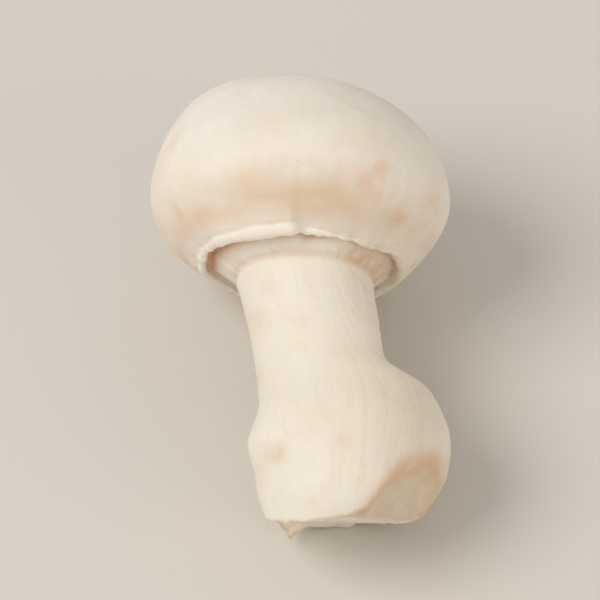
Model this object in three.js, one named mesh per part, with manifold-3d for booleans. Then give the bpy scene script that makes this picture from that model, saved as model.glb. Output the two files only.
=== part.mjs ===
// A picked white button mushroom lying on its side. The closed cap, the veil, the bent stem and the
// trimmed bulb grew together, so they are one solid body.
//
// Millimetres. Finished frame: +Z up with the resting surface at Z = 0, the crown of the cap towards
// +Y, the trimmed base towards -Y, and the origin under the middle of the body's box.
// Growing frame, used until the body is laid down: +Z along the axis of the cap towards the crown,
// Z = 0 at the cap's margin, +Y on the side that the mushroom comes to lie on.
import * as THREE from "three";
import { mergeVertices } from "three/addons/utils/BufferGeometryUtils.js";
import Module from "manifold-3d";

const { degToRad } = THREE.MathUtils;

// Driving dimensions of the cap
const CAP_RADIUS = 19;
const DOME_HEIGHT = 15.4;
const UNDERSIDE_HEIGHT = 9;
const MARGIN_ROUND = 0.7;

// Driving dimensions of the veil, the stem and the bulb
const VEIL_WIDTH = 3.1;
const VEIL_DROP = 1.7;
const NECK_RADIUS = 8.6;
const WAIST_DEPTH = 9;
const STEM_LENGTH = 34;
const STEM_BEND = 4.8;
const BEND_START_HEIGHT = 5;
const BULB_RADIUS = 11.3;
const BULB_HEIGHT = 9;
const BASE_RADIUS = 9;
const BASE_OVERRUN = 4;

// Cuts and contact
const BASE_CUT_TILT = degToRad(20);
const FACET_TILT = degToRad(45);
const FACET_TURN = degToRad(-22);
const FACET_REACH = 11.7;
const REST_FLAT_DEPTH = 0.3;

// Fullness of the curves, as a share of the corner that each one rounds
const DOME_CROWN_FULLNESS = 0.58;
const DOME_SIDE_FULLNESS = 0.5;
const UNDERSIDE_FULLNESS = 0.34;
const UNDERSIDE_TUCK = 0.38;

// Fineness of the facets
const AROUND = 60;
const DOME_STEPS = 14;
const UNDERSIDE_STEPS = 8;
const MARGIN_STEPS = 5;
const VEIL_STEPS = 3;
const STEM_STEPS = 22;

const CUTTER_SIZE = 300;
const PITCH_SEARCH_STEPS = 40;

const MARGIN_RADIUS = NECK_RADIUS + VEIL_WIDTH;
const CROWN = UNDERSIDE_HEIGHT + DOME_HEIGHT;
const BULB_MIDDLE = BULB_HEIGHT - STEM_LENGTH;
const SHOULDER_HEIGHT = (BULB_MIDDLE - WAIST_DEPTH) / 2 - 1;

// Uneven growth: the skin around each place moves by its push, fading over its reach.
const LEFT_SHOULDER = {
  at: new THREE.Vector3(-0.65 * CAP_RADIUS, 0, 0.85 * CROWN),
  push: new THREE.Vector3(-0.8, 0, 2.2),
  reach: 7
};
const CAP_FLANK = {
  at: new THREE.Vector3(CAP_RADIUS, 0.5 * CAP_RADIUS, 0.5 * CROWN),
  push: new THREE.Vector3(-0.7, -0.4, 0),
  reach: 9
};
const CROWN_DIMPLE = {
  at: new THREE.Vector3(0.2 * CAP_RADIUS, 0.3 * CAP_RADIUS, CROWN),
  push: new THREE.Vector3(0, 0, -0.7),
  reach: 6
};
const BULB_LOBE = {
  at: new THREE.Vector3(0.75 * BULB_RADIUS, 0, BULB_MIDDLE + 1),
  push: new THREE.Vector3(4.9, 0, 0.4),
  reach: 8.8
};
const LOBE_NOTCH = {
  at: new THREE.Vector3(NECK_RADIUS + 2, 0, 0.52 * BULB_MIDDLE),
  push: new THREE.Vector3(-3.5, 0, 0),
  reach: 2.75
};
const STEM_HEEL = {
  at: new THREE.Vector3(0, NECK_RADIUS, 0.8 * BULB_MIDDLE),
  push: new THREE.Vector3(0, 1.2, 0),
  reach: 6
};
const SWELLINGS = [LEFT_SHOULDER, CAP_FLANK, CROWN_DIMPLE, BULB_LOBE, LOBE_NOTCH, STEM_HEEL];

const wasm = await Module();
wasm.setup();

// Half outline as distance from the axis and height. The curves run down from the crown, and the
// points are handed over from the base up, which makes the lathe's faces point outwards.
function outline() {
  const at = (radius, height) => new THREE.Vector2(radius, height);
  const marginOuter = MARGIN_RADIUS + 2 * MARGIN_ROUND;

  const dome = new THREE.CubicBezierCurve(
    at(0, CROWN),
    at(CAP_RADIUS * DOME_CROWN_FULLNESS, CROWN),
    at(CAP_RADIUS, UNDERSIDE_HEIGHT + DOME_HEIGHT * DOME_SIDE_FULLNESS),
    at(CAP_RADIUS, UNDERSIDE_HEIGHT)
  );
  const underside = new THREE.CubicBezierCurve(
    at(CAP_RADIUS, UNDERSIDE_HEIGHT),
    at(CAP_RADIUS, UNDERSIDE_HEIGHT * (1 - UNDERSIDE_FULLNESS)),
    at(marginOuter + (CAP_RADIUS - marginOuter) * UNDERSIDE_TUCK, 2 * MARGIN_ROUND),
    at(marginOuter, MARGIN_ROUND)
  );
  const margin = new THREE.EllipseCurve(
    MARGIN_RADIUS + MARGIN_ROUND, MARGIN_ROUND, MARGIN_ROUND, MARGIN_ROUND, 0, -Math.PI, true
  );
  const veil = new THREE.QuadraticBezierCurve(
    at(MARGIN_RADIUS, MARGIN_ROUND),
    at(NECK_RADIUS + VEIL_WIDTH / 2, 0),
    at(NECK_RADIUS, -VEIL_DROP)
  );
  const stem = new THREE.SplineCurve([
    at(NECK_RADIUS, -VEIL_DROP),
    at(NECK_RADIUS, -WAIST_DEPTH),
    at((NECK_RADIUS + BULB_RADIUS) / 2, SHOULDER_HEIGHT),
    at(BULB_RADIUS, BULB_MIDDLE),
    at(BASE_RADIUS, -STEM_LENGTH),
    at(BASE_RADIUS / 2, -STEM_LENGTH - BASE_OVERRUN),
    at(0, -STEM_LENGTH - BASE_OVERRUN)
  ]);

  return [
    ...dome.getPoints(DOME_STEPS).slice(0, -1),
    ...underside.getPoints(UNDERSIDE_STEPS).slice(0, -1),
    ...margin.getPoints(MARGIN_STEPS).slice(0, -1),
    ...veil.getPoints(VEIL_STEPS).slice(0, -1),
    ...stem.getPoints(STEM_STEPS)
  ].reverse();
}

// Bends the stem towards +X and raises the swellings.
function grow(point) {
  const down = THREE.MathUtils.smoothstep(-point.z, -BEND_START_HEIGHT, -BULB_MIDDLE);
  point.x += STEM_BEND * down;
  const grown = point.clone();
  for (const { at, push, reach } of SWELLINGS) {
    const share = Math.exp(-point.distanceToSquared(at) / (2 * reach ** 2));
    grown.addScaledVector(push, share);
  }
  return grown;
}

function movePoints(geometry, move) {
  const position = geometry.attributes.position;
  const point = new THREE.Vector3();
  for (let i = 0; i < position.count; i += 1) {
    const moved = move(point.fromBufferAttribute(position, i));
    position.setXYZ(i, moved.x, moved.y, moved.z);
  }
  return geometry;
}

function toSolid(geometry) {
  const bare = geometry.clone();
  bare.deleteAttribute("normal");
  bare.deleteAttribute("uv");
  const merged = mergeVertices(bare, 1e-4);
  return new wasm.Manifold(new wasm.Mesh({
    numProp: 3,
    vertProperties: new Float32Array(merged.attributes.position.array),
    triVerts: new Uint32Array(merged.index.array)
  }));
}

function toGeometry(solid) {
  const mesh = solid.getMesh();
  const geometry = new THREE.BufferGeometry();
  geometry.setAttribute("position", new THREE.BufferAttribute(mesh.vertProperties, 3));
  geometry.setIndex(new THREE.BufferAttribute(mesh.triVerts, 1));
  return geometry;
}

// A large block whose top face passes through a point and faces a given way.
function block(through, facing) {
  const geometry = new THREE.BoxGeometry(CUTTER_SIZE, CUTTER_SIZE, CUTTER_SIZE);
  geometry.translate(0, 0, -CUTTER_SIZE / 2);
  const turn = new THREE.Quaternion().setFromUnitVectors(new THREE.Vector3(0, 0, 1), facing);
  geometry.applyQuaternion(turn);
  geometry.translate(through.x, through.y, through.z);
  return geometry;
}

// The knife's two cuts: one across the base and a smaller one on its right front.
function trimBase(body) {
  const middle = new THREE.Vector3(STEM_BEND, 0, -STEM_LENGTH);
  const acrossFacing = new THREE.Vector3(0, -Math.sin(BASE_CUT_TILT), Math.cos(BASE_CUT_TILT));
  const facetFacing = new THREE.Vector3(-Math.sin(FACET_TILT), 0, Math.cos(FACET_TILT))
    .applyAxisAngle(new THREE.Vector3(0, 0, 1), FACET_TURN);
  const facetPoint = new THREE.Vector3(STEM_BEND, 0, BULB_MIDDLE);
  facetPoint.addScaledVector(facetFacing, -FACET_REACH);
  return body
    .subtract(toSolid(block(middle, acrossFacing)))
    .subtract(toSolid(block(facetPoint, facetFacing)));
}

// Turns the growing frame so that the body lies with its crown towards +Y, raised by the pitch.
function layDown(geometry, pitch) {
  return geometry.clone().rotateX(pitch - Math.PI / 2);
}

function lowest(geometry, heights, isCap) {
  const position = geometry.attributes.position;
  let low = Infinity;
  for (let i = 0; i < position.count; i += 1) {
    if (heights[i] > 0 === isCap) low = Math.min(low, position.getZ(i));
  }
  return low;
}

// The pitch at which the cap and the stem touch the surface together.
function restingPitch(geometry) {
  const position = geometry.attributes.position;
  const heights = Array.from({ length: position.count }, (_, i) => position.getZ(i));
  let [low, high] = [degToRad(-30), degToRad(60)];
  for (let step = 0; step < PITCH_SEARCH_STEPS; step += 1) {
    const pitch = (low + high) / 2;
    const lying = layDown(geometry, pitch);
    const capIsHigher = lowest(lying, heights, true) > lowest(lying, heights, false);
    if (capIsHigher) high = pitch;
    else low = pitch;
  }
  return (low + high) / 2;
}

// The weight flattens the cap and the bulb slightly where they touch the surface.
function flattenWhereItRests(geometry) {
  geometry.computeBoundingBox();
  const { min, max } = geometry.boundingBox;
  geometry.translate(-(min.x + max.x) / 2, -(min.y + max.y) / 2, -min.z - REST_FLAT_DEPTH);
  const ground = block(new THREE.Vector3(), new THREE.Vector3(0, 0, 1));
  return toGeometry(toSolid(geometry).subtract(toSolid(ground)));
}

function buttonMushroom() {
  const lathe = new THREE.LatheGeometry(outline(), AROUND).rotateX(Math.PI / 2);
  const trimmed = toGeometry(trimBase(toSolid(movePoints(lathe, grow))));
  const geometry = flattenWhereItRests(layDown(trimmed, restingPitch(trimmed)));
  geometry.computeVertexNormals();
  const flesh = new THREE.MeshStandardMaterial({ color: 0xe8dcc8, roughness: 0.6, metalness: 0 });
  const mesh = new THREE.Mesh(geometry, flesh);
  mesh.name = "button_mushroom";
  return mesh;
}

const group = new THREE.Group();
group.add(buttonMushroom());

export default group;
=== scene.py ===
"""Looks of a picked white button mushroom that lies on its side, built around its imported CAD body.

The skin is one closed mesh. It is shaped in the frame that the mushroom grew in, in the design's
millimetres: +Z along the axis of the cap towards the crown, Z = 0 at the cap's margin, and +Y on the
side that it comes to lie on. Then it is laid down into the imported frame, in metres.

A turn is an angle round the axis in degrees: 0 at +X, -90 on the side that ends up on top.
Along is the distance from the crown over the skin, in millimetres. A reach is the distance from the
middle of something to where it has faded to about three fifths.
"""
import math

import bpy
import numpy as np
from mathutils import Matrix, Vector, noise


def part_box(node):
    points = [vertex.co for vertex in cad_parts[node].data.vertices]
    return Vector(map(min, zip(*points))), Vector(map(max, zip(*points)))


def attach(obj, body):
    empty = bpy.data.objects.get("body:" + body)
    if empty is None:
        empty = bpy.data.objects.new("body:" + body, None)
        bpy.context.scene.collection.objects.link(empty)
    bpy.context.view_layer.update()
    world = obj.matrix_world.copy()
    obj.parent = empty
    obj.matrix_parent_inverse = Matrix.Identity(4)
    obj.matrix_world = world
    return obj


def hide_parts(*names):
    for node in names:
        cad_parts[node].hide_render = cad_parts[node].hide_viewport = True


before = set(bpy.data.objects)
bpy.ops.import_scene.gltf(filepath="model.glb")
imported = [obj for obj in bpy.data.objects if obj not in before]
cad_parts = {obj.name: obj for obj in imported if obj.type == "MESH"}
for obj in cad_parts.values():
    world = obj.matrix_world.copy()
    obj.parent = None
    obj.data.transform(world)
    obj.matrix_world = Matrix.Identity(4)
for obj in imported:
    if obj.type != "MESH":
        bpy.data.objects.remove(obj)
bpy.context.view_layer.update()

NODE = "button_mushroom"
BOX_LOW, BOX_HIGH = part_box(NODE)

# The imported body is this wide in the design's millimetres, which gives the size of one of them.
DESIGN_WIDTH = 38.57
MM = (BOX_HIGH.x - BOX_LOW.x) / DESIGN_WIDTH

# Sizes of the grown body, in design millimetres
CAP_RADIUS = 19.0
DOME_HEIGHT = 15.4
UNDERSIDE_HEIGHT = 9.0
MARGIN_ROUND = 0.7
VEIL_WIDTH = 3.1
VEIL_DROP = 1.7
NECK_RADIUS = 8.6
WAIST_DEPTH = 9.0
STEM_LENGTH = 34.0
STEM_BEND = 4.8
BEND_START_HEIGHT = 5.0
BULB_RADIUS = 11.3
BULB_HEIGHT = 9.0
BASE_RADIUS = 9.0
BASE_OVERRUN = 4.0
BASE_CUT_TILT = math.radians(20)
FACET_TILT = math.radians(45)
FACET_TURN = math.radians(-22)
FACET_REACH = 11.7
REST_FLAT_DEPTH = 0.3
DOME_CROWN_FULLNESS = 0.58
DOME_SIDE_FULLNESS = 0.5
UNDERSIDE_FULLNESS = 0.34
UNDERSIDE_TUCK = 0.38

MARGIN_RADIUS = NECK_RADIUS + VEIL_WIDTH
CROWN = UNDERSIDE_HEIGHT + DOME_HEIGHT
BULB_MIDDLE = BULB_HEIGHT - STEM_LENGTH
SHOULDER_HEIGHT = (BULB_MIDDLE - WAIST_DEPTH) / 2 - 1

# Fineness of the skin: points round each ring, rings in each region, and steps of the stem's line
AROUND = 288
DOME_RINGS = 86
UNDERSIDE_RINGS = 44
MARGIN_RINGS = 24
VEIL_RINGS = 24
STEM_RINGS = 116
CUT_RINGS = 36
STEM_LINE_STEPS = 600
STEM_RING_CROWDING = 0.55
CUT_RING_EVENNESS = 0.4
RIM_SINK_EASING = 8

# Turns at which things lie. The seam of the UV map is on the floor side.
TOP_TURN = -90
FLOOR_TURN = 90
SEAM_TURN = FLOOR_TURN
FOLD_END_TURN = -91
DEEP_CREASE_TURN = -125
PULLED_VEIL_TURN = -18
FRILLED_VEIL_TURN = -172
KINK_TURN = -4
KNOB_TURN = -162
HOLLOW_TURN = -138
TAG_TURN = 129
FLAP_TURN = 108
OVERHANG_TURN = -138
RIM_TUCK_TURN = 20

# How far below the top of the stem things lie, over the skin, in millimetres
KINK_WAIST_BELOW = 6
KINK_BELOW = 13.2
KINK_SHOULDER_BELOW = 17
KNOB_BELOW = 25.5
HOLLOW_BELOW = 29.5

# What the rolled fold, the tuck beyond its end and uneven growth do to the cap's margin: millimetres,
# and for thicker and thinner a share of its thickness
FOLD_OUT = 0.25
FOLD_DOWN = 0.45
FOLD_THICKER = 0.65
TUCK_IN = 1.0
TUCK_DOWN = 0.55
TUCK_THINNER = 0.2
STRAY_OUT = 0.35
STRAY_UP = 0.3
STRAY_THICKER = 0.35

# Heights of the relief on the cap, the margin and the veil, in millimetres
CAP_WAVES = 0.2
CAP_PRESSED = 0.22
CAP_GRAIN = 0.03
CAP_FIBRES = 0.035
MARGIN_KNOTS = 0.12
MARGIN_GRAIN = 0.05
MARGIN_CREASE = 0.2
MARGIN_CREASE_DEEPER = 0.12
VEIL_PLEATS = 0.1
VEIL_SHREDS = 0.24
VEIL_FRILL = 0.3

# Heights of the relief on the stem and on the knife's cuts, in millimetres
COLLAR = 0.16
COLLAR_GROOVE = 0.14
COARSE_FIBRES = 0.035
FINE_FIBRES = 0.022
STEM_LUMPS = 0.22
STEM_GRAIN = 0.04
KNOB = 0.7
HOLLOW = 0.35
KINK_DEPTH = 2.1
KINK_SHOULDER = 0.5
KINK_WAIST = 0.45
CUT_STRIATIONS = 0.07
CUT_TEARS = 0.1
FACET_WAVES = 0.35
FACET_GROOVE = 0.12
FACET_CHATTER = 0.06

# The knife's small cut, in millimetres: the softness of its border, how much less it pares where it
# runs out, and the rounding, softness and waves of the edge that it shares with the base cut
FACET_SOFTNESS = 0.25
FACET_RUNS_OUT_ABOVE = 0.8
FACET_RUNS_OUT_LEFT = 2.2
EDGE_ROUNDING = 0.35
EDGE_SOFTNESS = 0.35
EDGE_WAVES = 0.2

# How the rim of the base cut is torn, in millimetres
RAGGED = 0.17
TAG = 1.35
FLAP = 0.6
OVERHANG = 0.55
RIM_TUCK = 0.5

# How far the skin lies below the plain body, how many rings on each side of the rim are rounded and
# how often, and the softness with which the skin meets the surface
INSET = 0.1
RIM_RELAX_ROWS = 5
RIM_RELAX_TIMES = 8
RESTING_SOFTNESS = 0.05

# Radius of the tube that the skin is unrolled from to lay out its fibres
UNROLLED_RADIUS = 10

# Steps of the two searches, the range in which the resting pitch is looked for, and a length that
# counts as none
RIM_SEARCH_STEPS = 8
PITCH_SEARCH_STEPS = 40
LOWEST_PITCH = math.radians(-30)
HIGHEST_PITCH = math.radians(60)
TINY = 1e-9

# Place of each uneven growth, how far it moves the skin, and the reach over which it fades
SWELLINGS = {
    "left shoulder of the cap": ((-0.65 * CAP_RADIUS, 0, 0.85 * CROWN), (-0.8, 0, 2.2), 7),
    "flank of the cap": ((CAP_RADIUS, 0.5 * CAP_RADIUS, 0.5 * CROWN), (-0.7, -0.4, 0), 9),
    "dimple in the crown": ((0.2 * CAP_RADIUS, 0.3 * CAP_RADIUS, CROWN), (0, 0, -0.7), 6),
    "lobe of the bulb": ((0.75 * BULB_RADIUS, 0, BULB_MIDDLE + 1), (4.9, 0, 0.4), 8.8),
    "notch above the lobe": ((NECK_RADIUS + 2, 0, 0.52 * BULB_MIDDLE), (-3.5, 0, 0), 2.75),
    "heel of the stem": ((0, NECK_RADIUS, 0.8 * BULB_MIDDLE), (0, 1.2, 0), 6),
}


# ---------------------------------------------------------------- small helpers

def smooth(value, start, end):
    """0 before start, 1 after end, eased between them. start may be the larger one."""
    share = np.clip((value - start) / (end - start), 0, 1)
    return share * share * (3 - 2 * share)


def bell(value, middle, reach):
    """1 at the middle, fading on both sides over a reach."""
    return np.exp(-((value - middle) ** 2) / (2 * reach**2))


def turned(turn, middle):
    """Signed angle from middle to turn, in degrees, from -180 to 180."""
    return (turn - middle + 180) % 360 - 180


def field(points, across, seed, octaves=1):
    """Smooth noise between about -1 and 1 at each point, with lumps about `across` apart."""
    shift = Vector((seed * 17.3, seed * -11.1, seed * 5.7))
    scaled = (np.asarray(points) / across).reshape(-1, 3).tolist()
    values = [noise.fractal(Vector(p) + shift, 1.0, 2.0, octaves) for p in scaled]
    return np.array(values).reshape(np.shape(points)[:-1])


# ---------------------------------------------------------------- grown outline

def bezier(points, steps):
    """Even steps along a Bezier curve of any degree, without its last point."""
    share = np.linspace(0, 1, steps, endpoint=False)[:, None]
    degree = len(points) - 1
    return sum(
        math.comb(degree, k) * (1 - share) ** (degree - k) * share**k * np.array(point, float)
        for k, point in enumerate(points)
    )


def catmull_rom(points, steps):
    """Even steps along a smooth curve through the points, with its last one."""
    points = np.array(points, float)
    last = len(points) - 1
    place = np.linspace(0, last, steps + 1)
    start = np.minimum(place.astype(int), last - 1)
    share = (place - start)[:, None]
    before, here = points[np.maximum(start - 1, 0)], points[start]
    there, after = points[start + 1], points[np.minimum(start + 2, last)]
    leave, arrive = (there - before) / 2, (after - here) / 2
    return (
        (2 * here - 2 * there + leave + arrive) * share**3
        + (3 * there - 3 * here - 2 * leave - arrive) * share**2
        + leave * share + here
    )


def cap_outline():
    """Radius and height of the rings from the crown to the top of the stem, with each ring's region."""
    outer = MARGIN_RADIUS + 2 * MARGIN_ROUND
    dome = bezier([
        (0, CROWN),
        (CAP_RADIUS * DOME_CROWN_FULLNESS, CROWN),
        (CAP_RADIUS, UNDERSIDE_HEIGHT + DOME_HEIGHT * DOME_SIDE_FULLNESS),
        (CAP_RADIUS, UNDERSIDE_HEIGHT),
    ], DOME_RINGS)
    underside = bezier([
        (CAP_RADIUS, UNDERSIDE_HEIGHT),
        (CAP_RADIUS, UNDERSIDE_HEIGHT * (1 - UNDERSIDE_FULLNESS)),
        (outer + (CAP_RADIUS - outer) * UNDERSIDE_TUCK, 2 * MARGIN_ROUND),
        (outer, MARGIN_ROUND),
    ], UNDERSIDE_RINGS)
    angle = np.linspace(0, -math.pi, MARGIN_RINGS, endpoint=False)
    margin = np.c_[
        MARGIN_RADIUS + MARGIN_ROUND + MARGIN_ROUND * np.cos(angle),
        MARGIN_ROUND + MARGIN_ROUND * np.sin(angle),
    ]
    veil = bezier([
        (MARGIN_RADIUS, MARGIN_ROUND),
        (NECK_RADIUS + VEIL_WIDTH / 2, 0),
        (NECK_RADIUS, -VEIL_DROP),
    ], VEIL_RINGS)
    rings = [dome, underside, margin, veil]
    names = ["dome", "underside", "margin", "veil"]
    return np.vstack(rings), np.repeat(names, [len(ring) for ring in rings])


STEM_LINE = catmull_rom([
    (NECK_RADIUS, -VEIL_DROP),
    (NECK_RADIUS, -WAIST_DEPTH),
    ((NECK_RADIUS + BULB_RADIUS) / 2, SHOULDER_HEIGHT),
    (BULB_RADIUS, BULB_MIDDLE),
    (BASE_RADIUS, -STEM_LENGTH),
    (BASE_RADIUS / 2, -STEM_LENGTH - BASE_OVERRUN),
    (0, -STEM_LENGTH - BASE_OVERRUN),
], STEM_LINE_STEPS)
STEM_LINE = STEM_LINE[:np.argmin(STEM_LINE[:, 1])]


def stem_radius(height):
    """Radius of the grown stem and bulb at a height."""
    return np.interp(-height, -STEM_LINE[:, 1], STEM_LINE[:, 0])


def cut_height(across_y):
    """Height of the knife's cut across the base."""
    return -STEM_LENGTH + math.tan(BASE_CUT_TILT) * across_y


def grow(points):
    """Bends the stem towards +X and raises the swellings."""
    grown = points.copy()
    grown[..., 0] += STEM_BEND * smooth(-points[..., 2], -BEND_START_HEIGHT, -BULB_MIDDLE)
    bent = grown.copy()
    for at, push, reach in SWELLINGS.values():
        share = np.exp(-((bent - at) ** 2).sum(-1) / (2 * reach**2))
        grown += share[..., None] * np.array(push, float)
    return grown


# ---------------------------------------------------------------- the rings of the skin

def margin_wander(turn):
    """How far the cap's margin strays along its edge: outwards, towards the crown, and in thickness.

    On the top side a rolled fold runs in from the left, and ends a little past the middle. Right of
    its end the margin tucks in behind it.
    """
    edge = np.stack([np.cos(np.radians(turn)), np.sin(np.radians(turn)), 0 * turn], -1)
    from_end = turned(turn, FOLD_END_TURN)
    rolled = smooth(from_end, -75, -35) * smooth(from_end, 1, -5)
    tucked = smooth(from_end, -3, 4) * smooth(from_end, 75, 45)
    stray_out = STRAY_OUT * field(edge, across=0.55, seed=1, octaves=3)
    stray_up = STRAY_UP * field(edge, across=0.4, seed=2, octaves=3)
    stray_thicker = STRAY_THICKER * field(edge, across=0.3, seed=3, octaves=3)
    outwards = FOLD_OUT * rolled - TUCK_IN * tucked + stray_out
    upwards = -FOLD_DOWN * rolled - TUCK_DOWN * tucked + stray_up
    thickness = 1 + FOLD_THICKER * rolled - TUCK_THINNER * tucked + stray_thicker
    return outwards, upwards, thickness


def share_of_wander(profile, region):
    """How far each ring of the cap follows its wandering margin."""
    radius = profile[:, 0]
    outer = MARGIN_RADIUS + 2 * MARGIN_ROUND
    under = smooth(radius, CAP_RADIUS - 0.5, outer) ** 3
    veil = smooth(radius, NECK_RADIUS, MARGIN_RADIUS)
    names = ["dome", "underside", "veil"]
    share = np.select([region == name for name in names], [0 * radius, under, veil], 1)
    return share[:, None]


def cap_rings(turn):
    """Radius and height of the rings from the crown to the top of the stem, and each one's region."""
    profile, region = cap_outline()
    radius = profile[:, :1] + 0 * turn
    height = profile[:, 1:] + 0 * turn
    outwards, upwards, thickness = margin_wander(turn)
    is_margin = (region == "margin")[:, None]
    is_underside = (region == "underside")[:, None]
    middle = MARGIN_RADIUS + MARGIN_ROUND
    radius = np.where(is_margin, middle + (radius - middle) * thickness, radius)
    height = np.where(is_margin, MARGIN_ROUND + (height - MARGIN_ROUND) * thickness, height)
    follow = share_of_wander(profile, region)
    swell = MARGIN_ROUND * (thickness - 1) * is_underside
    return radius + (outwards + swell) * follow, height + upwards * follow, region


def stem_rings(turn):
    """Radius and height of the stem's rings and of the cut's, and how far down each stem ring is."""
    sin = np.sin(np.radians(turn))
    share = np.linspace(0, 1, STEM_RINGS)
    share = share - STEM_RING_CROWDING * np.sin(2 * math.pi * share) / (2 * math.pi)
    rim = np.full(len(turn), -STEM_LENGTH)
    for _ in range(RIM_SEARCH_STEPS):
        rim = cut_height(stem_radius(rim) * sin)
    stem_height = -VEIL_DROP + (rim + VEIL_DROP) * share[:, None]
    inwards = np.linspace(0, 1, CUT_RINGS + 2)[1:-1, None]
    inwards = CUT_RING_EVENNESS * inwards + (1 - CUT_RING_EVENNESS) * inwards**2
    cut_radius = stem_radius(rim) * (1 - inwards)
    radius = np.vstack([stem_radius(stem_height), cut_radius])
    height = np.vstack([stem_height, cut_height(cut_radius * sin)])
    return radius, height, share


def skin_rings():
    """Growing-frame points of every ring and turn before the fine relief, and each ring's region."""
    turn = SEAM_TURN - 360 + np.arange(AROUND) * 360 / AROUND
    cap_radius, cap_height, cap_region = cap_rings(turn)
    lower_radius, lower_height, share = stem_rings(turn)
    radius = np.vstack([cap_radius, lower_radius])
    height = np.vstack([cap_height, lower_height])
    region = np.r_[cap_region, np.repeat(["stem", "cut"], [STEM_RINGS, CUT_RINGS])]
    cos, sin = np.cos(np.radians(turn)), np.sin(np.radians(turn))
    grown = grow(np.stack([radius * cos, radius * sin, height], -1))

    is_stem, is_cut = region == "stem", region == "cut"
    rim_row = np.flatnonzero(is_stem)[-1]
    sink = cut_height(grown[rim_row, :, 1]) - grown[rim_row, :, 2]
    grown[is_stem, :, 2] += share[:, None] ** RIM_SINK_EASING * sink
    grown[is_cut, :, 2] = cut_height(grown[is_cut, :, 1])
    return grown, region, turn


def outward_normals(points):
    """Unit normals of the grid of rings. The crown's ring has no size, and looks straight up."""
    down = np.gradient(points, axis=0)
    sideways = np.roll(points, -1, 1) - np.roll(points, 1, 1)
    normal = np.cross(down, sideways)
    length = np.linalg.norm(normal, axis=-1, keepdims=True)
    return np.where(length > TINY, normal / np.maximum(length, TINY), (0, 0, 1))


def relax_rows(points, rows, times):
    """Rounds an edge that runs along a ring, by averaging each of these rings with its neighbours."""
    for _ in range(times):
        points[rows] = (points[rows - 1] + 2 * points[rows] + points[rows + 1]) / 4


def facet_facing():
    """The way that the knife's small cut faces, at the right front of the base."""
    return np.array([
        math.sin(FACET_TILT) * math.cos(FACET_TURN),
        math.sin(FACET_TILT) * math.sin(FACET_TURN),
        -math.cos(FACET_TILT),
    ])


def pare(points, proud, facing, soft):
    """Moves what stands proud of a face back onto it, and rounds its border over a softness."""
    kept = -soft * np.logaddexp(0, -proud / soft)
    return points + (kept - proud)[..., None] * facing


class Skin:
    """The grid of rings with everything that the relief and the colours need to know about it."""

    def __init__(self):
        self.points, self.region, turn_row = skin_rings()
        steps = np.linalg.norm(np.diff(self.points[:, AROUND // 2], axis=0), axis=-1)
        self.along = np.r_[0, np.cumsum(steps)][:, None] + 0 * turn_row
        self.turn = turn_row + 0 * self.along
        self.start = {
            name: self.along[self.region == name][0, 0] for name in np.unique(self.region)
        }
        self.normals = outward_normals(self.points)
        self.reach = np.hypot(self.points[..., 0], self.points[..., 1])
        angle = np.radians(self.turn)
        tube = UNROLLED_RADIUS * np.cos(angle), UNROLLED_RADIUS * np.sin(angle)
        self.unrolled = np.stack([*tube, self.along], -1)
        self.rim_row = np.flatnonzero(self.region == "stem")[-1]
        self.rows_to_rim = np.arange(len(self.region))[:, None] - self.rim_row + 0 * self.turn

    def on(self, *names):
        """1 on the rings of the named regions."""
        return np.isin(self.region, names)[:, None] + 0.0 * self.turn

    def grain(self, across, lengthwise, seed, octaves=1):
        """Noise of fibres that run away from the crown, `across` apart and `lengthwise` long."""
        return field(self.unrolled / (across, across, lengthwise), 1, seed, octaves)

    def near(self, turn, along, reach):
        """1 at a place on the skin, fading over a reach in millimetres."""
        aside = np.radians(turned(self.turn, turn)) * self.reach
        return np.exp(-(aside**2 + (self.along - along) ** 2) / (2 * reach**2))

    def side(self, turn, full, gone):
        """1 within `full` degrees of a turn, eased down to 0 at `gone` degrees from it."""
        return smooth(np.abs(turned(self.turn, turn)), gone, full)

    def spoke(self, turn, reach):
        """1 at a turn, fading over a reach in degrees."""
        return bell(turned(self.turn, turn), 0, reach)

    def past(self, region):
        """Distance along the skin from where a region starts."""
        return self.along - self.start[region]

    def lip(self, offset, reach):
        """1 along the middle of the rolled margin, moved along by an offset."""
        middle = (self.start["margin"] + self.start["veil"]) / 2
        return bell(self.along, middle + offset, reach)

    def pulled_veil(self):
        """1 on the side where the veil was pulled about, between the stem and the margin."""
        return self.side(PULLED_VEIL_TURN, full=24, gone=52)


# ---------------------------------------------------------------- relief, in millimetres

def cap_relief(skin):
    """The closed cap's skin: broad waves, pressed places, silky fibres and fine grain."""
    waves = CAP_WAVES * field(skin.points, across=11, seed=11, octaves=2)
    pressed = -CAP_PRESSED * smooth(field(skin.points, across=8, seed=12), 0.15, 0.6)
    grain = CAP_GRAIN * field(skin.points, across=1.1, seed=13, octaves=3)
    away_from_crown = smooth(skin.along, 6, 20)
    fibres = CAP_FIBRES * skin.grain(0.55, 9, seed=14, octaves=2) * away_from_crown
    return skin.on("dome", "underside") * (waves + pressed + grain + fibres)


def margin_relief(skin):
    """The rolled margin: knotted along its length, over the crease that parts it from the veil."""
    knots = MARGIN_KNOTS * skin.grain(1.1, 3, seed=21, octaves=3)
    knots = knots + MARGIN_GRAIN * field(skin.points, across=0.6, seed=22, octaves=2)
    crease = bell(skin.past("veil"), 0.15, 0.33)
    deeper = MARGIN_CREASE_DEEPER * skin.side(DEEP_CREASE_TURN, full=20, gone=60)
    return knots * skin.lip(offset=0, reach=1.3) - (MARGIN_CREASE + deeper) * crease


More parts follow.
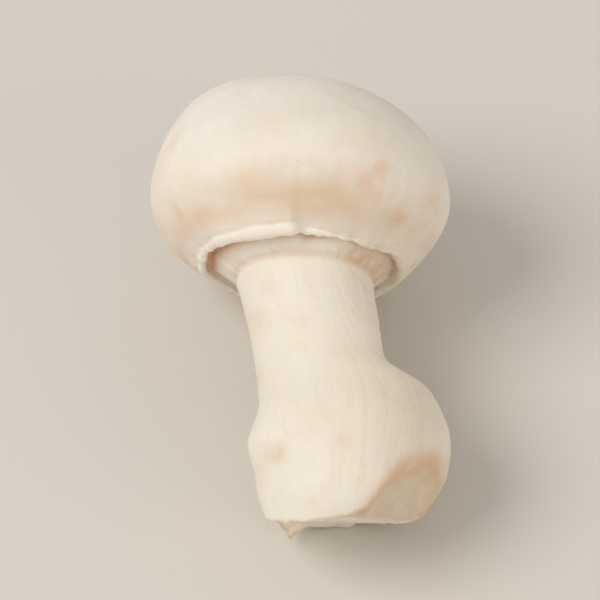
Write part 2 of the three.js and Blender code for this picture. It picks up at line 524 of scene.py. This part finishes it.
def veil_relief(skin):
    """The closed veil: pleats from the margin to the stem, and shreds where it was pulled about."""
    pleats = VEIL_PLEATS * skin.grain(0.7, 8, seed=31, octaves=2)
    shreds = VEIL_SHREDS * skin.grain(1.3, 2.6, seed=32, octaves=4) * skin.pulled_veil()
    frill = VEIL_FRILL * skin.grain(0.6, 2.5, seed=33, octaves=3)
    frill = frill * skin.spoke(FRILLED_VEIL_TURN, reach=17)
    band = skin.on("veil") + 0.6 * skin.on("margin")
    return band * (pleats + shreds + frill)


def stem_kink(skin):
    """The sharp dip in the stem's right above the bulb's lobe, between a shoulder and a waist."""
    below = skin.past("stem")
    shoulder = KINK_SHOULDER * bell(below, KINK_SHOULDER_BELOW, reach=2)
    dip = KINK_DEPTH * bell(below, KINK_BELOW, reach=1.7)
    waist = KINK_WAIST * bell(below, KINK_WAIST_BELOW, reach=4)
    return (shoulder - dip - waist) * skin.spoke(KINK_TURN, reach=33)


def stem_relief(skin):
    """The stem and bulb: a collar at the veil, long fibres, soft lumps and a knob at the left."""
    below = skin.past("stem")
    collar = COLLAR * bell(below, 0.7, 0.5) - COLLAR_GROOVE * bell(below, -0.25, 0.3)
    coarse = COARSE_FIBRES * skin.grain(0.8, 26, seed=41, octaves=3)
    fine = FINE_FIBRES * skin.grain(0.4, 14, seed=42, octaves=2)
    fibres = (coarse + fine) * smooth(below, 0, 3)
    lumps = STEM_LUMPS * field(skin.points, across=5.5, seed=43, octaves=2) * smooth(below, 14, 24)
    grain = STEM_GRAIN * field(skin.points, across=1, seed=44, octaves=3)
    knob = KNOB * skin.near(KNOB_TURN, skin.start["stem"] + KNOB_BELOW, reach=2)
    hollow = -HOLLOW * skin.near(HOLLOW_TURN, skin.start["stem"] + HOLLOW_BELOW, reach=1.8)
    return skin.on("stem") * (fibres + lumps + grain + knob + hollow + stem_kink(skin)) + collar


def cut_relief(skin):
    """The knife's face: fine tears, and striations where the blade dragged."""
    drag = skin.points @ np.array([0.35, 0.9, 0.25])
    across = skin.points @ np.array([0.93, -0.36, 0])
    dragged = np.stack([across / 0.55, drag / 7, 0 * drag], -1)
    striations = CUT_STRIATIONS * field(dragged, across=1, seed=51, octaves=3)
    tears = CUT_TEARS * field(skin.points, across=1.6, seed=52, octaves=4)
    return skin.on("cut") * (striations + tears)


def tear_rim(skin, points):
    """The rim of the cut: ragged all round, with a torn flap and a tag at the lower left."""
    near_rim = bell(skin.rows_to_rim, 0, 2.2)
    wide_rim = bell(skin.rows_to_rim, 0, 5)
    in_patches = 0.35 + 0.9 * smooth(skin.grain(3.5, 50, seed=62), -0.25, 0.35)
    ragged = RAGGED * skin.grain(1.3, 50, seed=61, octaves=4) * in_patches
    tag = TAG * skin.spoke(TAG_TURN, reach=6.5) * (1 + 2 * ragged)
    hanging = FLAP * skin.side(FLAP_TURN, full=18, gone=26)
    hanging = hanging + OVERHANG * skin.side(OVERHANG_TURN, full=22, gone=48)
    tuck = RIM_TUCK * skin.side(RIM_TUCK_TURN, full=30, gone=70)
    down = near_rim * (ragged + tag) + wide_rim * (hanging * (1 + 3 * ragged) - tuck)
    out = near_rim * (0.5 * ragged + 0.25 * tag)
    angle = np.radians(skin.turn)
    return points + np.stack([out * np.cos(angle), out * np.sin(angle), -down], -1)


def facet_proud(skin, points):
    """How far the bulb stands proud of the small cut, which runs out above and to the left."""
    proud = (points - (STEM_BEND, 0, BULB_MIDDLE)) @ facet_facing() - FACET_REACH
    from_facet = turned(skin.turn, math.degrees(FACET_TURN))
    above = FACET_RUNS_OUT_ABOVE * smooth(points[..., 2], BULB_MIDDLE - 4, BULB_MIDDLE + 1)
    left = FACET_RUNS_OUT_LEFT * smooth(from_facet, -28, -66)
    return proud + FACET_WAVES * field(points, across=5, seed=71, octaves=3) - (above + left)


def over_edge_of_cuts(points):
    """How far the skin stands over the edge between the two cuts, and the way that it is pared."""
    facing = facet_facing()
    down = np.array([0, math.sin(BASE_CUT_TILT), -math.cos(BASE_CUT_TILT)])
    between = (facing + down) / np.linalg.norm(facing + down)
    facet_level = np.array([STEM_BEND, 0, BULB_MIDDLE]) @ facing + FACET_REACH
    cut_level = cut_height(0) * down[2]
    on_edge = np.linalg.solve(
        np.array([facing, down, np.cross(facing, down)]),
        np.array([facet_level, cut_level, 0]),
    )
    waves = EDGE_WAVES * field(points, across=4, seed=73, octaves=3)
    return (points - on_edge) @ between + EDGE_ROUNDING + waves, between


def shave_facet(skin, points):
    """Pares the bulb down to the small cut, and rounds the edge between the two cuts.

    Returns the points, how far each is on the small cut's face, and how near to its border.
    """
    proud = facet_proud(skin, points)
    pared = smooth(proud, -0.3, 0.5)
    groove = -FACET_GROOVE * bell(proud, -0.1, 0.4)
    chatter = FACET_CHATTER * field(points, across=1.4, seed=72, octaves=3) * pared
    facing = facet_facing()
    points = pare(points, proud, facing, FACET_SOFTNESS) + (groove + chatter)[..., None] * facing
    over_edge, between = over_edge_of_cuts(points)
    points = pare(points, over_edge, between, EDGE_SOFTNESS)
    return points, np.maximum(pared, smooth(over_edge, -0.6, 0.2)), bell(proud, -0.2, 0.8)


def raise_relief(skin):
    """The finished skin in the growing frame, with the shares of the small cut and its border."""
    height = cap_relief(skin) + margin_relief(skin) + veil_relief(skin)
    height = height + stem_relief(skin) + cut_relief(skin)
    points = skin.points + (height - INSET)[..., None] * skin.normals
    rim_rows = np.arange(skin.rim_row - RIM_RELAX_ROWS, skin.rim_row + RIM_RELAX_ROWS + 1)
    relax_rows(points, rim_rows, RIM_RELAX_TIMES)
    return shave_facet(skin, tear_rim(skin, points))


# ---------------------------------------------------------------- laying it down

def turn_down(points, pitch):
    """Turns the growing frame so that the crown points towards +Y, raised by the pitch."""
    sin, cos = math.sin(pitch), math.cos(pitch)
    x, y, z = points[..., 0], points[..., 1], points[..., 2]
    return np.stack([x, y * sin + z * cos, z * sin - y * cos], -1)


def resting_pitch(points):
    """The pitch at which the cap and the stem touch the surface together."""
    is_cap = points[..., 2] > 0
    low, high = LOWEST_PITCH, HIGHEST_PITCH
    for _ in range(PITCH_SEARCH_STEPS):
        pitch = (low + high) / 2
        lying = turn_down(points, pitch)[..., 2]
        if lying[is_cap].min() > lying[~is_cap].min():
            high = pitch
        else:
            low = pitch
    return (low + high) / 2


def lay_down(skin, points):
    """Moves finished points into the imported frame, in metres, as the plain body lies there."""
    plain, _, _ = shave_facet(skin, skin.points)
    pitch = resting_pitch(plain)
    plain = turn_down(plain, pitch).reshape(-1, 3)
    middle = (plain.min(0) + plain.max(0)) / 2
    shift = np.array([-middle[0], -middle[1], -plain[:, 2].min() - REST_FLAT_DEPTH])
    low, high = np.array(BOX_LOW), np.array(BOX_HIGH)
    origin = np.array([(low[0] + high[0]) / 2, (low[1] + high[1]) / 2, low[2]])
    lying = (turn_down(points, pitch) + shift) * MM + origin
    soft = RESTING_SOFTNESS * MM
    lying[..., 2] = low[2] + soft * np.logaddexp(0, (lying[..., 2] - low[2]) / soft)
    return np.clip(lying, low, high)


# ---------------------------------------------------------------- where the colours lie

# Turns at which the tints, the painted shades and the painted highlight are strongest, and the one past
# which the tan fades to the right
STRONG_TAN_TURN = -92
FADING_TAN_TURN = -25
# The painted shade in the crease under the lip is strongest at this turn
SHADED_CREASE_TURN = -138
BRUISED_TURN = -64
BROWN_VEIL_TURN = -168
# The painted shade on the bulb's lobe lies at this turn
SHADED_LOBE_TURN = -50
# The painted highlight on the lip of the margin is strongest at this turn, on the upper left
LIP_HIGHLIGHT_TURN = -115

# How far the middles of the bands lie above the cap's margin, and of the painted shade on the lobe
# below the neck
BLOTCH_BAND_ABOVE = 5.5
# The tan band above the margin is partly painted shade, where the cap turns down
TAN_AND_SHADE_BAND_ABOVE = 4.4
SHADED_LOBE_BELOW = 21

# Share of each tint and of each painted shade where it is strongest
BLOTCH_STRENGTH = 0.7
# Painted shade, orange, in the crease under the lip and in the corner where the veil meets the stem
CREASE_PAINTED_SHADE = 0.9
NECK_PAINTED_SHADE = 0.2
BRUISE_ORANGE = 0.46
RIM_ORANGE = 0.25
# Painted shade, brown, on the veil where it was pulled about, deep under the margin
PULLED_VEIL_PAINTED_SHADE = 0.52
VEIL_END_BROWN = 0.12
FLOOR_RIM_BROWN = 0.8
RIGHT_RIM_BROWN = 0.4
TOP_RIM_BROWN = 0.5
FACET_GREY = 0.9
# Painted shade, in the small cut's dull colour, on the bulb's lobe
LOBE_PAINTED_SHADE = 0.55
CUT_WHITE = 0.62
PITH_LESS_WHITE = 0.4

# Seed of the scattered blotches, and their size as a share of the reach that is drawn
BLOTCH_SEED = 7
BLOTCH_SIZE = 0.8


def blotches(skin):
    """Tan bruises on the cap and the stem: a few in their places, and seeded ones all round."""
    band = skin.start["margin"] - BLOTCH_BAND_ABOVE
    middle_of_stem = skin.start["stem"] + 9
    base = skin.start["stem"] + 28

    # Turn, along, reach and strength of each
    placed = [
        (-111, band - 1, 1.7, 0.6), (-90, band + 1, 1.7, 0.4), (-74, band, 1.6, 0.55),
        (-62, band - 1.5, 1.6, 0.7), (-57, band - 4, 1.5, 0.6), (-39, band + 1, 1.4, 0.8),
        (-143, band + 1.5, 1.8, 0.5), (-128, middle_of_stem - 5, 1.1, 0.35),
        (-113, middle_of_stem, 1.3, 0.4), (-84, middle_of_stem + 5, 1.6, 0.25),
        (-110, base - 4, 2, 0.3), (-92, base - 1, 1.6, 0.35), (-141, base, 1.1, 0.75),
    ]

    # Where along the skin the seeded ones lie, how many there are, and how strong they are
    scattered_over = [
        (6, skin.start["underside"], 26, 0.3),
        (skin.start["underside"], skin.start["margin"] - 1, 30, 0.45),
        (skin.start["stem"] + 3, skin.start["cut"] - 2, 26, 0.35),
    ]
    rng = np.random.default_rng(BLOTCH_SEED)
    scattered = []
    for along_low, along_high, count, strength in scattered_over:
        for _ in range(count):
            turn, along = rng.uniform(-30, 210), rng.uniform(along_low, along_high)
            scattered.append((turn, along, rng.uniform(0.8, 2), strength * rng.uniform(0.4, 1.4)))

    total = 0 * skin.turn
    for turn, along, reach, strength in placed + scattered:
        blotch = BLOTCH_STRENGTH * strength * skin.near(turn, along, BLOTCH_SIZE * reach)
        total = np.maximum(total, blotch)
    return total


def tan_and_shade_mask(skin):
    """A tan wash round the cap above its margin, partly painted shade where the cap turns down,
    stronger on top and weaker on the right.
    """
    # Partly painted shade: the band darkens the cap where it turns down towards the margin
    wash = bell(skin.along, skin.start["margin"] - TAN_AND_SHADE_BAND_ABOVE, reach=2.2)
    wash = wash * (0.6 + 0.4 * skin.grain(5, 3, seed=81, octaves=2))
    wash = wash * (1 + 0.4 * skin.spoke(STRONG_TAN_TURN, reach=20))
    wash = wash * (1 - 0.45 * smooth(turned(skin.turn, FADING_TAN_TURN), -45, -15))
    return wash * skin.on("dome", "underside")


def rim_line(skin):
    """1 along the rim of the base cut."""
    return bell(skin.rows_to_rim, 0, 1.4)


def orange_and_shade_mask(skin, pared, border):
    """Orange painted shade in the crease under the lip and at the neck, and orange round the small cut
    and along the rim.
    """
    # Painted shade: the crease under the lip, shaded by the margin, coloured orange and strongest on
    # the left
    crease = CREASE_PAINTED_SHADE * bell(skin.past("veil"), 0.4, 0.5)
    crease = crease * skin.side(SHADED_CREASE_TURN, full=42, gone=80)
    # Painted shade: a thin orange line in the corner where the veil meets the stem
    neck = NECK_PAINTED_SHADE * bell(skin.past("stem"), -0.3, 0.35)
    bruise = border * (BRUISE_ORANGE + 0.2 * field(skin.points, across=4, seed=84, octaves=2))
    bruise = bruise * (0.9 + 0.35 * skin.spoke(BRUISED_TURN, reach=18))
    bruise = bruise * (skin.on("stem") + 0.3 * skin.on("cut"))
    rim = RIM_ORANGE * rim_line(skin) * (1 - pared)
    return crease + neck + bruise + rim


def brown_mask(skin, pared):
    """Brown painted shade on the veil where it was pulled about, a little brown at its left end, and
    brown along the rim of the base cut.
    """
    # Painted shade: the veil darker and browner on the side where it lies deep under the margin
    veil = PULLED_VEIL_PAINTED_SHADE * skin.pulled_veil()
    veil = veil + VEIL_END_BROWN * skin.spoke(BROWN_VEIL_TURN, reach=14)
    veil = veil * (skin.on("veil") + 0.5 * skin.on("margin"))
    rim = FLOOR_RIM_BROWN * skin.side(FLOOR_TURN, full=45, gone=75)
    rim = rim + RIGHT_RIM_BROWN * skin.side(RIM_TUCK_TURN, full=40, gone=70)
    rim = rim + TOP_RIM_BROWN * skin.spoke(TOP_TURN, reach=8)
    return veil + rim * rim_line(skin) * (1 - pared)


def grey_mask(skin, pared):
    """The dull face of the small cut, and painted shade in the same dull colour on the bulb's lobe."""
    # Painted shade: the bulb's lobe darkened on its right, away from the key lamp
    lobe = skin.near(SHADED_LOBE_TURN, skin.start["stem"] + SHADED_LOBE_BELOW, reach=6.5)
    return FACET_GREY * pared + LOBE_PAINTED_SHADE * lobe * skin.on("stem") * (1 - pared)


def white_mask(skin, pared):
    """The pale lip of the margin, whiter on the upper left as a painted highlight, and the fresh face
    of the base cut round its pith.
    """
    lip = skin.lip(offset=-0.4, reach=1)
    # Painted highlight: the lip whiter on the upper left, towards the key lamp
    lip = lip * (0.35 + 0.65 * skin.side(LIP_HIGHLIGHT_TURN, full=25, gone=50))
    from_rim = skin.past("cut") + 0.8 * field(skin.points, across=3, seed=82, octaves=2)
    pith = smooth(from_rim, 1.2, 2.6)
    pith = pith * (0.6 + 0.4 * field(skin.points, across=1.7, seed=83, octaves=3))
    return lip + (CUT_WHITE - PITH_LESS_WHITE * pith) * skin.on("cut") * (1 - pared)


def colour_masks(skin, pared, border):
    """Share of each tint at every point of the skin, by the name of its attribute."""
    cap, stem, cut = skin.on("dome", "underside"), skin.on("stem"), skin.on("cut")
    masks = {
        "blotch": blotches(skin),
        "tan": tan_and_shade_mask(skin),
        "orange": orange_and_shade_mask(skin, pared, border),
        "brown": brown_mask(skin, pared),
        "grey": grey_mask(skin, pared),
        "white": white_mask(skin, pared),
        "stem": stem,
        "silk": stem + 0.4 * cap * smooth(skin.along, 8, 24),
        "cut": cut + pared,
    }
    return {name: np.clip(share, 0, 1) for name, share in masks.items()}


# ---------------------------------------------------------------- mesh

def ring_faces(rows, v_share):
    """Faces of the grid of rings below the crown, closed at the crown and the base by fans.

    Returns each face's corners, and the UV place of every corner in the same order. The crown and
    the base are the last two vertices.
    """
    crown, base = (rows - 1) * AROUND, (rows - 1) * AROUND + 1
    last = (rows - 2) * AROUND
    faces, places = [], []
    for row in range(rows - 2):
        here, there = row * AROUND, (row + 1) * AROUND
        top, bottom = v_share[row + 1], v_share[row + 2]
        for column in range(AROUND):
            beside = (column + 1) % AROUND
            left, right = column / AROUND, (column + 1) / AROUND
            faces.append((here + column, there + column, there + beside, here + beside))
            places += [(left, top), (left, bottom), (right, bottom), (right, top)]
    for column in range(AROUND):
        beside = (column + 1) % AROUND
        left, right = column / AROUND, (column + 1) / AROUND
        middle = (left + right) / 2
        faces.append((crown, column, beside))
        places += [(middle, 0), (left, v_share[1]), (right, v_share[1])]
        faces.append((last + beside, last + column, base))
        places += [(right, v_share[-1]), (left, v_share[-1]), (middle, 1)]
    return faces, places


def per_vertex(grid):
    """A grid's values in the order of the mesh's vertices. The crown and the base get their mean."""
    flat = grid[1:].reshape(-1, *grid.shape[2:])
    return np.concatenate([flat, [grid[0].mean(0), grid[-1].mean(0)]])


def build_mesh(skin, points, masks):
    """One closed mesh from the grid of rings, with its attributes and its UV map."""
    v_share = skin.along[:, 0] / skin.along[-1, 0]
    faces, places = ring_faces(len(points), v_share)
    mesh = bpy.data.meshes.new("mushroom_skin")
    mesh.from_pydata(per_vertex(points).tolist(), [], faces)
    mesh.polygons.foreach_set("use_smooth", np.ones(len(faces), bool))
    uv = mesh.uv_layers.new(name="OFBake")
    uv.data.foreach_set("uv", np.array(places, np.float32).ravel())
    for name, grid in masks.items():
        attribute = mesh.attributes.new(name, "FLOAT", "POINT")
        attribute.data.foreach_set("value", per_vertex(grid).astype(np.float32))
    attribute = mesh.attributes.new("fibre", "FLOAT_VECTOR", "POINT")
    attribute.data.foreach_set("vector", per_vertex(skin.unrolled).astype(np.float32).ravel())
    mesh.validate()
    mesh.update()
    return mesh


# ---------------------------------------------------------------- material

def linear(red, green, blue):
    """A colour as it looks on a screen, 0 to 255, as the shader's linear values."""
    def one(value):
        """One channel."""
        share = value / 255
        return share / 12.92 if share <= 0.04045 else ((share + 0.055) / 1.055) ** 2.4
    return (one(red), one(green), one(blue), 1)


# Colours of the flesh, of its tints, of the painted shade and highlight mixed from them, and of the
# floor
PALE_CAP = linear(239, 232, 221)
WARM_CAP = linear(234, 225, 211)
PALE_STEM = linear(236, 229, 216)
MOTTLE = linear(236, 214, 186)
FIBRE = linear(226, 209, 182)
TAN = linear(222, 200, 174)
BLOTCH = linear(221, 183, 142)
DULL_DARK = linear(209, 194, 169)
DULL_LIGHT = linear(219, 204, 180)
WHITE = linear(242, 234, 220)
BROWN = linear(198, 154, 104)
ORANGE = linear(206, 150, 96)
SPECK = linear(214, 194, 164)
FLOOR_COLOUR = linear(214, 209, 201)

# Shader settings that are the same all over the flesh, and its bump
FLESH_SETTINGS = {
    "Specular IOR Level": 0.32,
    "Subsurface Weight": 0.3,
    "Subsurface Radius": (1.0, 0.62, 0.38),
    "Subsurface Scale": 2.4 * MM,
    "Sheen Weight": 0.08,
    "Sheen Roughness": 0.6,
}
BUMP_STRENGTH = 0.6
BUMP_HEIGHT = 0.12 * MM


class Nodes:
    """Short calls for the shader nodes that the flesh is made of."""

    def __init__(self, tree):
        self.tree = tree

    def new(self, kind, **settings):
        """A node of a kind, with its settings."""
        node = self.tree.nodes.new(kind)
        for name, value in settings.items():
            setattr(node, name, value)
        return node

    def plug(self, source, target):
        """Links a socket to an input, or sets the input to a value."""
        if isinstance(source, bpy.types.NodeSocket):
            self.tree.links.new(source, target)
        else:
            target.default_value = source

    def mask(self, name):
        """One of the skin's float attributes."""
        return self.new("ShaderNodeAttribute", attribute_name=name).outputs["Fac"]

    def math(self, operation, *values):
        """The output of a math node on values or sockets."""
        node = self.new("ShaderNodeMath", operation=operation)
        for value, socket in zip(values, node.inputs):
            self.plug(value, socket)
        return node.outputs[0]

    def spread(self, value, low, high, to_low=0.0, to_high=1.0):
        """Maps low..high of a value to to_low..to_high, eased and clamped."""
        node = self.new("ShaderNodeMapRange", interpolation_type="SMOOTHSTEP")
        self.plug(value, node.inputs["Value"])
        self.plug(low, node.inputs["From Min"])
        self.plug(high, node.inputs["From Max"])
        self.plug(to_low, node.inputs["To Min"])
        self.plug(to_high, node.inputs["To Max"])
        return node.outputs["Result"]

    def noise(self, vector, across, detail, roughness, distortion=0.0):
        """Noise with lumps `across` apart, in the units of the vector."""
        node = self.new("ShaderNodeTexNoise")
        self.plug(vector, node.inputs["Vector"])
        node.inputs["Scale"].default_value = 1 / across
        node.inputs["Detail"].default_value = detail
        node.inputs["Roughness"].default_value = roughness
        node.inputs["Distortion"].default_value = distortion
        return node.outputs["Fac"]

    def scaled(self, vector, x, y, z):
        """A vector with each of its axes scaled."""
        node = self.new("ShaderNodeVectorMath", operation="MULTIPLY")
        self.plug(vector, node.inputs[0])
        node.inputs[1].default_value = (x, y, z)
        return node.outputs[0]

    def tint(self, base, colour, share):
        """The base colour mixed with another by a share."""
        node = self.new("ShaderNodeMix", data_type="RGBA")
        self.plug(share, node.inputs["Factor"])
        self.plug(base, node.inputs["A"])
        self.plug(colour, node.inputs["B"])
        return node.outputs["Result"]


def flesh_textures(n):
    """The noises that the flesh's colour, roughness and bump share, by name."""
    place = n.new("ShaderNodeTexCoord").outputs["Object"]
    fibre = n.new("ShaderNodeAttribute", attribute_name="fibre").outputs["Vector"]
    return {
        "cloud": n.noise(place, across=9 * MM, detail=3, roughness=0.55),
        "patch": n.noise(place, across=2.6 * MM, detail=4, roughness=0.6, distortion=0.4),
        "speck": n.noise(place, across=0.5 * MM, detail=3, roughness=0.6),
        "grain": n.noise(place, across=0.35 * MM, detail=3, roughness=0.65),
        "long fibre": n.noise(n.scaled(fibre, 1, 1, 0.06), across=0.45, detail=4, roughness=0.6),
        "veil fibre": n.noise(n.scaled(fibre, 1, 1, 0.25), across=0.4, detail=3, roughness=0.6),
    }


def flesh_colour(n, texture):
    """Ivory, then each tint over it, broken up by the noises."""
    def masked(name, share):
        """A mask times a share."""
        return n.math("MULTIPLY", n.mask(name), share)

    patch = texture["patch"]
    silky = n.spread(texture["long fibre"], 0.5, 0.72, to_high=0.24)
    broken = n.spread(patch, 0.3, 0.62, to_low=0.35)
    streaked = n.spread(texture["veil fibre"], 0.35, 0.65, to_low=0.65)
    orange_breakup = n.spread(patch, 0.25, 0.5, to_low=0.6)
    dull = n.tint(DULL_DARK, DULL_LIGHT, n.spread(patch, 0.35, 0.65))

    colour = n.tint(PALE_CAP, WARM_CAP, n.spread(texture["cloud"], 0.35, 0.68))
    colour = n.tint(colour, PALE_STEM, masked("stem", 0.75))
    colour = n.tint(colour, MOTTLE, n.spread(patch, 0.5, 0.75, to_high=0.4))
    colour = n.tint(colour, FIBRE, masked("silk", silky))
    # The tan is partly painted shade where the cap turns down towards its margin
    colour = n.tint(colour, TAN, n.mask("tan"))
    colour = n.tint(colour, BLOTCH, masked("blotch", broken))
    # The grey is the small cut's dull face, and painted shade on the bulb's lobe
    colour = n.tint(colour, dull, n.mask("grey"))
    # The white is partly a painted highlight on the lip of the margin
    colour = n.tint(colour, WHITE, masked("white", 0.6))
    # The brown is painted shade on the veil where it was pulled about, and brown colour at the veil's
    # left end and along the rim
    colour = n.tint(colour, BROWN, masked("brown", streaked))
    # The orange is painted shade in the crease under the lip and at the neck, and orange colour round
    # the small cut and along the rim
    colour = n.tint(colour, ORANGE, masked("orange", orange_breakup))
    return n.tint(colour, SPECK, n.spread(texture["speck"], 0.6, 0.75, to_high=0.3))


def flesh_bump(n, texture):
    """Fine grain all over, silky fibres, and a rougher face where the knife went through."""
    grain = n.math("MULTIPLY", texture["grain"], 0.5)
    silk = n.math("MULTIPLY", n.math("MULTIPLY", texture["long fibre"], n.mask("silk")), 0.6)
    cut = n.math("MULTIPLY", n.math("MULTIPLY", texture["speck"], n.mask("cut")), 1.2)
    relief = n.math("ADD", n.math("ADD", grain, silk), cut)
    bump = n.new("ShaderNodeBump")
    bump.inputs["Strength"].default_value = BUMP_STRENGTH
    bump.inputs["Distance"].default_value = BUMP_HEIGHT
    n.plug(relief, bump.inputs["Height"])
    return bump.outputs["Normal"]


def flesh_material():
    """Matt, slightly waxy flesh: ivory, with bruises, silky fibres, orange and brown round the cuts,
    and painted shade in its creases.
    """
    material = bpy.data.materials.new("mushroom_flesh")
    material.use_nodes = True
    material.node_tree.nodes.clear()
    n = Nodes(material.node_tree)
    texture = flesh_textures(n)
    shader = n.new("ShaderNodeBsdfPrincipled")
    for name, value in FLESH_SETTINGS.items():
        shader.inputs[name].default_value = value
    rough = n.spread(texture["patch"], 0.3, 0.7, to_low=0.5, to_high=0.62)
    rough = n.math("ADD", rough, n.math("MULTIPLY", n.mask("cut"), 0.12))
    n.plug(flesh_colour(n, texture), shader.inputs["Base Color"])
    n.plug(rough, shader.inputs["Roughness"])
    n.plug(flesh_bump(n, texture), shader.inputs["Normal"])
    output = n.new("ShaderNodeOutputMaterial")
    n.plug(shader.outputs["BSDF"], output.inputs["Surface"])
    return material


# ---------------------------------------------------------------- stage

# The floor's reach, in lengths of the body's diagonal, and its gap below the body
FLOOR_REACH = 120
FLOOR_GAP = 0.02 * MM
FLOOR_ROUGHNESS = 0.85

# Lamps, placed from the middle of the body in metres
LAMP_SIZE = 0.5
KEY_PLACE = Vector((-0.5, -0.12, 0.65))
KEY_WATTS = 3.7
KEY_COLOUR = (1, 0.975, 0.95)
FILL_PLACE = Vector((0.6, -0.35, 0.25))
FILL_WATTS = 1.0
FILL_COLOUR = (1, 0.86, 0.72)
WORLD_COLOUR = (1, 0.98, 0.95, 1)
WORLD_STRENGTH = 0.55

# The camera, turned about the middle of the body
CAMERA_AZIMUTH = math.radians(1.5)
CAMERA_ELEVATION = math.radians(55)
CAMERA_DISTANCE = 1.25
CAMERA_SENSOR = 36
CAMERA_LENS = 600
CAMERA_CLIP = (0.01, 100)


def plain_material(name, colour, roughness):
    """A material of one colour."""
    material = bpy.data.materials.new(name)
    material.use_nodes = True
    shader = material.node_tree.nodes["Principled BSDF"]
    shader.inputs["Base Color"].default_value = colour
    shader.inputs["Roughness"].default_value = roughness
    return material


def lay_floor():
    """A plain pale floor just under the mushroom."""
    half = FLOOR_REACH * (BOX_HIGH - BOX_LOW).length
    height = BOX_LOW.z - FLOOR_GAP
    corners = [(x * half, y * half, height) for x, y in ((-1, -1), (1, -1), (1, 1), (-1, 1))]
    mesh = bpy.data.meshes.new("floor")
    mesh.from_pydata(corners, [], [(0, 1, 2, 3)])
    mesh.materials.append(plain_material("floor", FLOOR_COLOUR, FLOOR_ROUGHNESS))
    floor = bpy.data.objects.new("floor", mesh)
    bpy.context.scene.collection.objects.link(floor)


def aim(item, target):
    """Points a lamp or the camera at a place."""
    item.rotation_euler = (Vector(target) - item.location).to_track_quat("-Z", "Y").to_euler()


def soft_light(name, middle, place, watts, colour):
    """A round soft lamp at a place from the middle of the body, aimed at that middle."""
    lamp = bpy.data.lights.new(name, "AREA")
    lamp.shape = "DISK"
    lamp.size = LAMP_SIZE
    lamp.energy = watts
    lamp.color = colour
    item = bpy.data.objects.new(name, lamp)
    bpy.context.scene.collection.objects.link(item)
    item.location = middle + place
    aim(item, middle)


def light_studio(middle):
    """One large soft key from the upper left, a weak warm fill from the right, and a pale world."""
    soft_light("key", middle, KEY_PLACE, KEY_WATTS, KEY_COLOUR)
    soft_light("fill", middle, FILL_PLACE, FILL_WATTS, FILL_COLOUR)
    world = bpy.data.worlds.new("studio")
    world.use_nodes = True
    background = world.node_tree.nodes["Background"]
    background.inputs["Color"].default_value = WORLD_COLOUR
    background.inputs["Strength"].default_value = WORLD_STRENGTH
    bpy.context.scene.world = world


def place_camera(middle):
    """Looks down on the underside of the cap and along the stem, from far away with a long lens."""
    back = Vector((
        math.sin(CAMERA_AZIMUTH) * math.cos(CAMERA_ELEVATION),
        -math.cos(CAMERA_AZIMUTH) * math.cos(CAMERA_ELEVATION),
        math.sin(CAMERA_ELEVATION),
    ))
    data = bpy.data.cameras.new("camera")
    data.sensor_width = CAMERA_SENSOR
    data.lens = CAMERA_LENS
    data.clip_start, data.clip_end = CAMERA_CLIP
    camera = bpy.data.objects.new("camera", data)
    bpy.context.scene.collection.objects.link(camera)
    camera.location = middle + back * CAMERA_DISTANCE
    aim(camera, middle)
    bpy.context.scene.camera = camera


# ---------------------------------------------------------------- assembly

def build_mushroom():
    """The mushroom's one piece, in its place, with its material."""
    skin = Skin()
    points, pared, border = raise_relief(skin)
    mesh = build_mesh(skin, lay_down(skin, points), colour_masks(skin, pared, border))
    mesh.materials.append(flesh_material())
    piece = bpy.data.objects.new("mushroom_skin", mesh)
    bpy.context.scene.collection.objects.link(piece)
    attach(piece, "root")
    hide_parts(NODE)


middle = (BOX_LOW + BOX_HIGH) / 2
bpy.context.scene.view_settings.view_transform = "Standard"
build_mushroom()
lay_floor()
light_studio(middle)
place_camera(middle)
